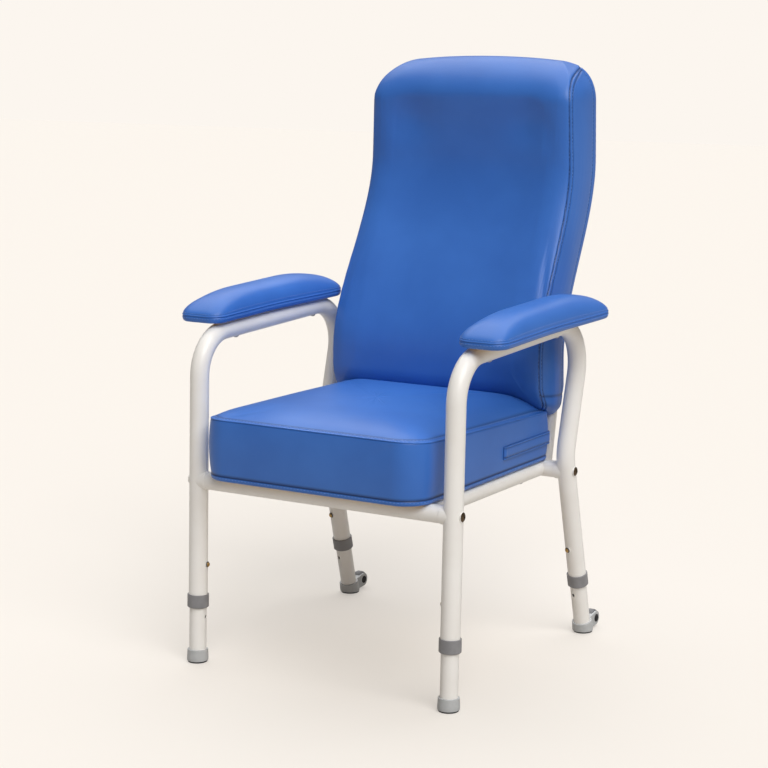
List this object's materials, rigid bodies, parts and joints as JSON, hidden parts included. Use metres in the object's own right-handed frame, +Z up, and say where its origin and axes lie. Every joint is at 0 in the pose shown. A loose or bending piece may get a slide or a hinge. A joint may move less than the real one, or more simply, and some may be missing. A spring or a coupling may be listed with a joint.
{
  "type": "high back chair",
  "caption": "High back day chair with padded seat, back and arms on a bent tube frame whose legs set in height, the rear pair with small tipping wheels.",
  "frame": {"origin": "middle of the footprint, on the floor", "axes": "+Z up, the chair faces -Y, +X to the left of a person who sits in it"},
  "size_m": [0.681, 0.7224, 1.1],
  "materials": {
    "frame_coat": "satin",
    "vinyl": "satin",
    "plywood": "matte",
    "steel": "satin",
    "dark_steel": "satin",
    "bronzed_steel": "satin",
    "white_nylon": "matte",
    "collar_plastic": "matte",
    "foot_plastic": "matte",
    "wheel_plastic": "matte",
    "sole_rubber": "matte",
    "brass": "satin"
  },
  "bodies": {
    "chair": {"side_frame_left": "frame_coat", "side_frame_right": "frame_coat", "front_cross_tube": "frame_coat", "rear_cross_tube": "frame_coat", "side_rail_left": "frame_coat", "side_rail_right": "frame_coat", "saddle_spacers": "frame_coat", "threaded_plugs": "steel", "frame_bolts": "bronzed_steel", "bolt_washers": "frame_coat", "lock_rings": "white_nylon", "back_frame": "frame_coat", "back_board": "plywood", "back_board_screws": "steel", "back_pad": "vinyl", "seat_board": "plywood", "seat_screws": "steel", "seat_pad": "vinyl", "zip_flap": "vinyl", "arm_board_left": "plywood", "arm_board_right": "plywood", "arm_screws": "steel", "arm_pad_left": "vinyl", "arm_pad_right": "vinyl", "collar_front_left": "collar_plastic", "lock_bush_front_left": "dark_steel", "lock_spring_front_left": "steel", "collar_front_right": "collar_plastic", "lock_bush_front_right": "dark_steel", "lock_spring_front_right": "steel", "collar_rear_left": "collar_plastic", "lock_bush_rear_left": "dark_steel", "lock_spring_rear_left": "steel", "collar_rear_right": "collar_plastic", "lock_bush_rear_right": "dark_steel", "lock_spring_rear_right": "steel"},
    "leg_front_left": {"leg_front_left": "frame_coat", "foot_front_left": "foot_plastic", "sole_front_left": "sole_rubber"},
    "leg_front_right": {"leg_front_right": "frame_coat", "foot_front_right": "foot_plastic", "sole_front_right": "sole_rubber"},
    "leg_rear_left": {"leg_rear_left": "frame_coat", "foot_rear_left": "foot_plastic", "sole_rear_left": "sole_rubber", "axle_left": "steel", "axle_caps_left": "sole_rubber"},
    "leg_rear_right": {"leg_rear_right": "frame_coat", "foot_rear_right": "foot_plastic", "sole_rear_right": "sole_rubber", "axle_right": "steel", "axle_caps_right": "sole_rubber"},
    "lock_front_left": {"lock_pin_front_left": "brass"},
    "lock_front_right": {"lock_pin_front_right": "brass"},
    "lock_rear_left": {"lock_pin_rear_left": "brass"},
    "lock_rear_right": {"lock_pin_rear_right": "brass"},
    "wheel_left": {"wheel_left": "wheel_plastic"},
    "wheel_right": {"wheel_right": "wheel_plastic"}
  },
  "joints": [
    {"name": "height_front_left", "type": "slide", "parent": "chair", "child": "leg_front_left", "axis": [0, -0.0384, -0.9993], "range_m": [-0.06, 0.06]},
    {"name": "height_front_right", "type": "slide", "parent": "chair", "child": "leg_front_right", "axis": [0, -0.0384, -0.9993], "range_m": [-0.06, 0.06]},
    {"name": "height_rear_left", "type": "slide", "parent": "chair", "child": "leg_rear_left", "axis": [0, 0.2436, -0.9699], "range_m": [-0.06, 0.06]},
    {"name": "height_rear_right", "type": "slide", "parent": "chair", "child": "leg_rear_right", "axis": [0, 0.2436, -0.9699], "range_m": [-0.06, 0.06]},
    {"name": "pull_front_left", "type": "slide", "parent": "chair", "child": "lock_front_left", "axis": [0.9848, 0.1735, -0.0067], "range_m": [0, 0.0014], "stiffness_N_per_m": 4000, "springref_m": -0.001, "deforming": ["lock_spring_front_left"]},
    {"name": "pull_front_right", "type": "slide", "parent": "chair", "child": "lock_front_right", "axis": [-0.9848, 0.1735, -0.0067], "range_m": [0, 0.0014], "stiffness_N_per_m": 4000, "springref_m": -0.001, "deforming": ["lock_spring_front_right"]},
    {"name": "pull_rear_left", "type": "slide", "parent": "chair", "child": "lock_rear_left", "axis": [-0.342, -0.9114, -0.2289], "range_m": [0, 0.0014], "stiffness_N_per_m": 4000, "springref_m": -0.001, "deforming": ["lock_spring_rear_left"]},
    {"name": "pull_rear_right", "type": "slide", "parent": "chair", "child": "lock_rear_right", "axis": [-0.342, -0.9114, -0.2289], "range_m": [0, 0.0014], "stiffness_N_per_m": 4000, "springref_m": -0.001, "deforming": ["lock_spring_rear_right"]},
    {"name": "roll_left", "type": "hinge", "parent": "leg_rear_left", "child": "wheel_left", "pos_m": [-0.268, 0.25821, 0.0185], "axis": [1, 0, 0], "continuous": true},
    {"name": "roll_right", "type": "hinge", "parent": "leg_rear_right", "child": "wheel_right", "pos_m": [0.268, 0.25821, 0.0185], "axis": [1, 0, 0], "continuous": true}
  ]
}
